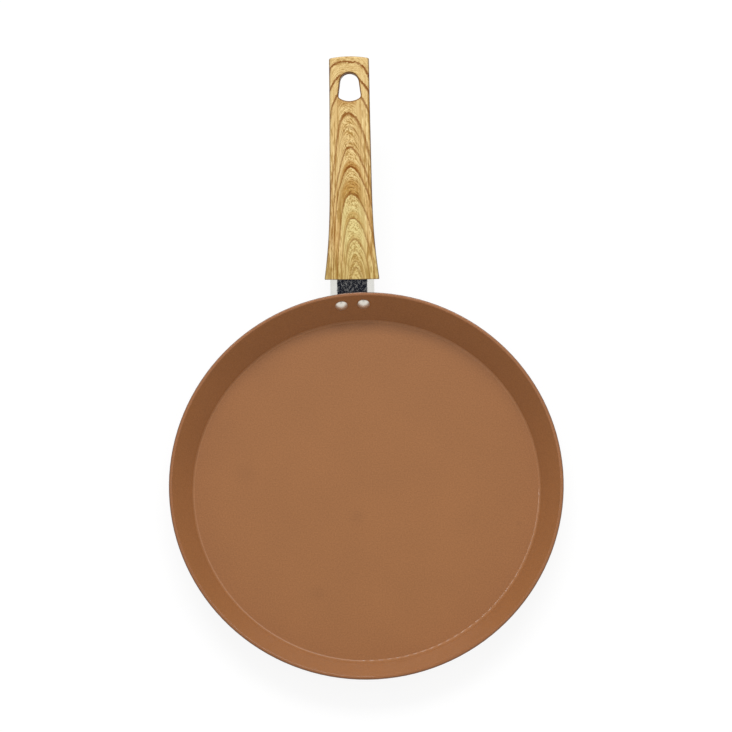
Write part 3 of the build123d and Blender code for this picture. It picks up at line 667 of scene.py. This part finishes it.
class CrepePanDish(PropertyGroup):
    """Finishes of the dish and its disc."""

    coating: FloatVectorProperty(
        name="Coating", description="Non-stick inside the dish", subtype="COLOR", size=4, min=0, max=1,
        default=hex_colour("#9f693c"),
    )
    rim: FloatVectorProperty(
        name="Rim", description="Coating on the land of the rim", subtype="COLOR", size=4, min=0, max=1,
        default=hex_colour("#9a6339"),
    )
    lacquer: FloatVectorProperty(
        name="Lacquer", description="Outside of the dish", subtype="COLOR", size=4, min=0, max=1,
        default=hex_colour("#7a5033"),
    )
    bare: FloatVectorProperty(
        name="Bare aluminium", description="Bosses in the disc's holes", subtype="COLOR", size=4, min=0, max=1,
        default=hex_colour("#cfcfcd"),
    )
    disc: FloatVectorProperty(
        name="Disc", description="Stainless steel disc in the underside", subtype="COLOR", size=4, min=0, max=1,
        default=hex_colour("#b9b6b0"),
    )
    speck_size: FloatProperty(
        name="Speck size", description="Width of the coating's specks in millimetres", default=1.0, min=0.2, max=5
    )


class CrepePanMetal(PropertyGroup):
    """Colours of the handle's metal pieces."""

    sleeve: FloatVectorProperty(
        name="Sleeve", description="Polished stainless steel", subtype="COLOR", size=4, min=0, max=1,
        default=hex_colour("#dddcd6"),
    )
    bracket: FloatVectorProperty(
        name="Bracket", description="Die-cast aluminium", subtype="COLOR", size=4, min=0, max=1,
        default=hex_colour("#a9aaab"),
    )
    rivets: FloatVectorProperty(
        name="Rivets", description="Pressed aluminium", subtype="COLOR", size=4, min=0, max=1,
        default=hex_colour("#e3ddd2"),
    )
    screw: FloatVectorProperty(
        name="Screw", description="Zinc-plated steel", subtype="COLOR", size=4, min=0, max=1,
        default=hex_colour("#c3c6ca"),
    )
    screw_patches: FloatVectorProperty(
        name="Screw's patches", description="Bluish patches of the zinc", subtype="COLOR", size=4, min=0, max=1,
        default=hex_colour("#a9adb5"),
    )


class CrepePanGrip(PropertyGroup):
    """Colours of the printed grain."""

    pale: FloatVectorProperty(
        name="Pale wood", description="Lightest fibres", subtype="COLOR", size=4, min=0, max=1,
        default=hex_colour("#fde09e"),
    )
    ground: FloatVectorProperty(
        name="Ground", description="Most of the wood", subtype="COLOR", size=4, min=0, max=1,
        default=hex_colour("#e9c381"),
    )
    streak: FloatVectorProperty(
        name="Streaks", description="Darker fibres and pores", subtype="COLOR", size=4, min=0, max=1,
        default=hex_colour("#b5883f"),
    )
    # Also the tint of the painted shade along the straight edge of the hanging hole
    zone: FloatVectorProperty(
        name="Warm zones", description="Tint of the reddish bands beside the arches", subtype="COLOR", size=4,
        min=0, max=1, default=hex_colour("#d6b688"),
    )
    line: FloatVectorProperty(
        name="Lines", description="Dark lines of the arches", subtype="COLOR", size=4, min=0, max=1,
        default=hex_colour("#925510"),
    )
    olive: FloatVectorProperty(
        name="Olive tint", description="What the print's colours are multiplied by near the dish", subtype="COLOR",
        size=4, min=0, max=1, default=hex_colour("#f3fdf6"),
    )
    # Tint of the painted shade down the grip's sides
    side_shade: FloatVectorProperty(
        name="Flank tint", description="What the print's colours are multiplied by down the sides", subtype="COLOR",
        size=4, min=0, max=1, default=hex_colour("#a6937c"),
    )
    # Also partly painted shade on the walls of the hanging hole
    phenolic: FloatVectorProperty(
        name="Phenolic", description="Unprinted plastic in the hanging hole and the bore", subtype="COLOR", size=4,
        min=0, max=1, default=hex_colour("#8c5f24"),
    )
    pore_size: FloatProperty(
        name="Pore size", description="Width of a pore in millimetres", default=0.9, min=0.1, max=5
    )


class CrepePanStudio(PropertyGroup):
    """Floor and light."""

    floor: FloatVectorProperty(
        name="Floor", description="Colour of the paper", subtype="COLOR", size=4, min=0, max=1,
        default=(0.15, 0.15, 0.15, 1.0),
    )
    floor_lift: FloatProperty(
        name="Floor lift", description="What the camera sees on top of the lit paper", default=0.875, min=0, max=1
    )
    ambient: FloatVectorProperty(
        name="Ambient", description="Light from all round", subtype="COLOR", size=4, min=0, max=2,
        default=(0.58, 0.58, 0.58, 1.0),
    )
    mirrored: FloatVectorProperty(
        name="Mirrored", description="What glossy surfaces mirror beside the flag", subtype="COLOR", size=4, min=0,
        max=2, default=(1.04, 1.04, 1.04, 1.0),
    )
    key_power: FloatProperty(
        name="Key light", description="Large soft light high up beyond the handle's end", subtype="POWER",
        default=89, min=0,
    )
    flag_angle: FloatProperty(
        name="Flag angle", description="Degrees from straight above, on the dish's side", default=3, min=0, max=90
    )
    flag_width: FloatProperty(
        name="Flag width", description="Half width of the flag in degrees", default=16, min=1, max=90
    )
    flag_length: FloatProperty(
        name="Flag length", description="Half length of the flag in degrees, along the handle", default=33, min=1,
        max=90,
    )
    flag: FloatVectorProperty(
        name="Flag", description="Cloth of the flag's half on the dish's side", subtype="COLOR", size=4, min=0,
        max=1, default=(0.014, 0.016, 0.026, 1.0),
    )
    thin_flag: FloatVectorProperty(
        name="Thin flag", description="Cloth of the flag's half on the handle's side", subtype="COLOR", size=4,
        min=0, max=1, default=(0.52, 0.52, 0.52, 1.0),
    )


class CrepePanSettings(PropertyGroup):
    """All settings of the crepe pan."""

    dish: PointerProperty(type=CrepePanDish)
    metal: PointerProperty(type=CrepePanMetal)
    grip: PointerProperty(type=CrepePanGrip)
    studio: PointerProperty(type=CrepePanStudio)


class CREPEPAN_OT_dish(Operator):
    """Coat the dish inside and out"""

    bl_idname = "crepe_pan.dish"
    bl_label = "Dish"

    def execute(self, context):
        dress("pan_body", coated_dish(context.scene.crepe_pan.dish))
        return {"FINISHED"}


class CREPEPAN_OT_disc(Operator):
    """Give the disc in the underside its turned steel"""

    bl_idname = "crepe_pan.disc"
    bl_label = "Disc"

    def execute(self, context):
        dress("induction_disc", turned_steel(context.scene.crepe_pan.dish))
        return {"FINISHED"}


class CREPEPAN_OT_bracket(Operator):
    """Give the bracket its cast aluminium"""

    bl_idname = "crepe_pan.bracket"
    bl_label = "Bracket"

    def execute(self, context):
        dress("handle_bracket", cast_aluminium(context.scene.crepe_pan.metal))
        return {"FINISHED"}


class CREPEPAN_OT_rivets(Operator):
    """Give both rivets their satin aluminium"""

    bl_idname = "crepe_pan.rivets"
    bl_label = "Rivets"

    def execute(self, context):
        material = satin_aluminium(context.scene.crepe_pan.metal)
        for name in ("rivet_left", "rivet_right"):
            dress(name, material)
        return {"FINISHED"}


class CREPEPAN_OT_sleeve(Operator):
    """Polish the sleeve between the dish and the grip"""

    bl_idname = "crepe_pan.sleeve"
    bl_label = "Sleeve"

    def execute(self, context):
        dress("flame_guard", polished_steel(context.scene.crepe_pan.metal))
        return {"FINISHED"}


class CREPEPAN_OT_grip(Operator):
    """Print the wood grain on the grip"""

    bl_idname = "crepe_pan.grip"
    bl_label = "Grip"

    def execute(self, context):
        dress("handle_grip", wood_effect_grip(context.scene.crepe_pan.grip))
        return {"FINISHED"}


class CREPEPAN_OT_fasteners(Operator):
    """Plate the screw and its washers"""

    bl_idname = "crepe_pan.fasteners"
    bl_label = "Screw and washers"

    def execute(self, context):
        material = plated_steel(context.scene.crepe_pan.metal)
        for name in ("handle_screw", "flat_washer", "lock_washer"):
            dress(name, material)
        return {"FINISHED"}


class CREPEPAN_OT_stage(Operator):
    """Lay the floor, set the light and place the camera"""

    bl_idname = "crepe_pan.stage"
    bl_label = "Floor, light and camera"

    def execute(self, context):
        scene = context.scene
        studio = scene.crepe_pan.studio

        floor_mesh = bpy.data.meshes.new("floor")
        corners = [(x * FLOOR_REACH, y * FLOOR_REACH, 0) for x, y in ((-1, -1), (1, -1), (1, 1), (-1, 1))]
        floor_mesh.from_pydata(corners, [], [(0, 1, 2, 3)])
        floor = bpy.data.objects.new("floor", floor_mesh)
        floor_mesh.materials.append(floor_paper(studio))
        scene.collection.objects.link(floor)

        scene.world = bpy.data.worlds.new("soft_surroundings")
        soft_surroundings(scene.world, studio)

        key_data = bpy.data.lights.new("key_light", "AREA")
        key_data.shape = "RECTANGLE"
        key_data.size, key_data.size_y = KEY_SIZE
        key_data.energy = studio.key_power
        key = bpy.data.objects.new("key_light", key_data)
        key.location = KEY_PLACE
        key.rotation_euler = (-key.location).to_track_quat("-Z", "Y").to_euler()
        scene.collection.objects.link(key)

        turn = (
            Matrix.Rotation(CAMERA_ROLL, 4, "Z")
            @ Matrix.Rotation(CAMERA_PITCH, 4, "X")
            @ Matrix.Rotation(CAMERA_YAW, 4, "Y")
        )
        camera_data = bpy.data.cameras.new("camera")
        camera_data.lens = CAMERA_LENS
        camera = bpy.data.objects.new("camera", camera_data)
        place = turn @ Vector((CAMERA_SHIFT.x, CAMERA_SHIFT.y, CAMERA_DISTANCE)) + CAMERA_CENTRE
        camera.matrix_world = Matrix.Translation(place) @ turn
        scene.collection.objects.link(camera)
        scene.camera = camera
        scene.view_settings.view_transform = "Standard"
        return {"FINISHED"}


class CREPEPAN_PT_sidebar(Panel):
    """Lists the pieces and their settings"""

    bl_label = "Crepe Pan"
    bl_space_type = "VIEW_3D"
    bl_region_type = "UI"
    bl_category = "Crepe Pan"

    def draw(self, context):
        for operator in OPERATORS:
            self.layout.operator(operator.bl_idname)
        settings = context.scene.crepe_pan
        for group in (settings.dish, settings.metal, settings.grip, settings.studio):
            box = self.layout.box()
            for name in group.__annotations__:
                box.prop(group, name)


OPERATORS = (
    CREPEPAN_OT_dish,
    CREPEPAN_OT_disc,
    CREPEPAN_OT_bracket,
    CREPEPAN_OT_rivets,
    CREPEPAN_OT_sleeve,
    CREPEPAN_OT_grip,
    CREPEPAN_OT_fasteners,
    CREPEPAN_OT_stage,
)
CLASSES = (
    CrepePanDish,
    CrepePanMetal,
    CrepePanGrip,
    CrepePanStudio,
    CrepePanSettings,
    *OPERATORS,
    CREPEPAN_PT_sidebar,
)


def register():
    for item in CLASSES:
        bpy.utils.register_class(item)
    bpy.types.Scene.crepe_pan = PointerProperty(type=CrepePanSettings)


def unregister():
    del bpy.types.Scene.crepe_pan
    for item in reversed(CLASSES):
        bpy.utils.unregister_class(item)


def main():
    register()
    bpy.ops.crepe_pan.dish()
    bpy.ops.crepe_pan.disc()
    bpy.ops.crepe_pan.bracket()
    bpy.ops.crepe_pan.rivets()
    bpy.ops.crepe_pan.sleeve()
    bpy.ops.crepe_pan.grip()
    bpy.ops.crepe_pan.fasteners()
    bpy.ops.crepe_pan.stage()


if __name__ == "__main__":
    main()
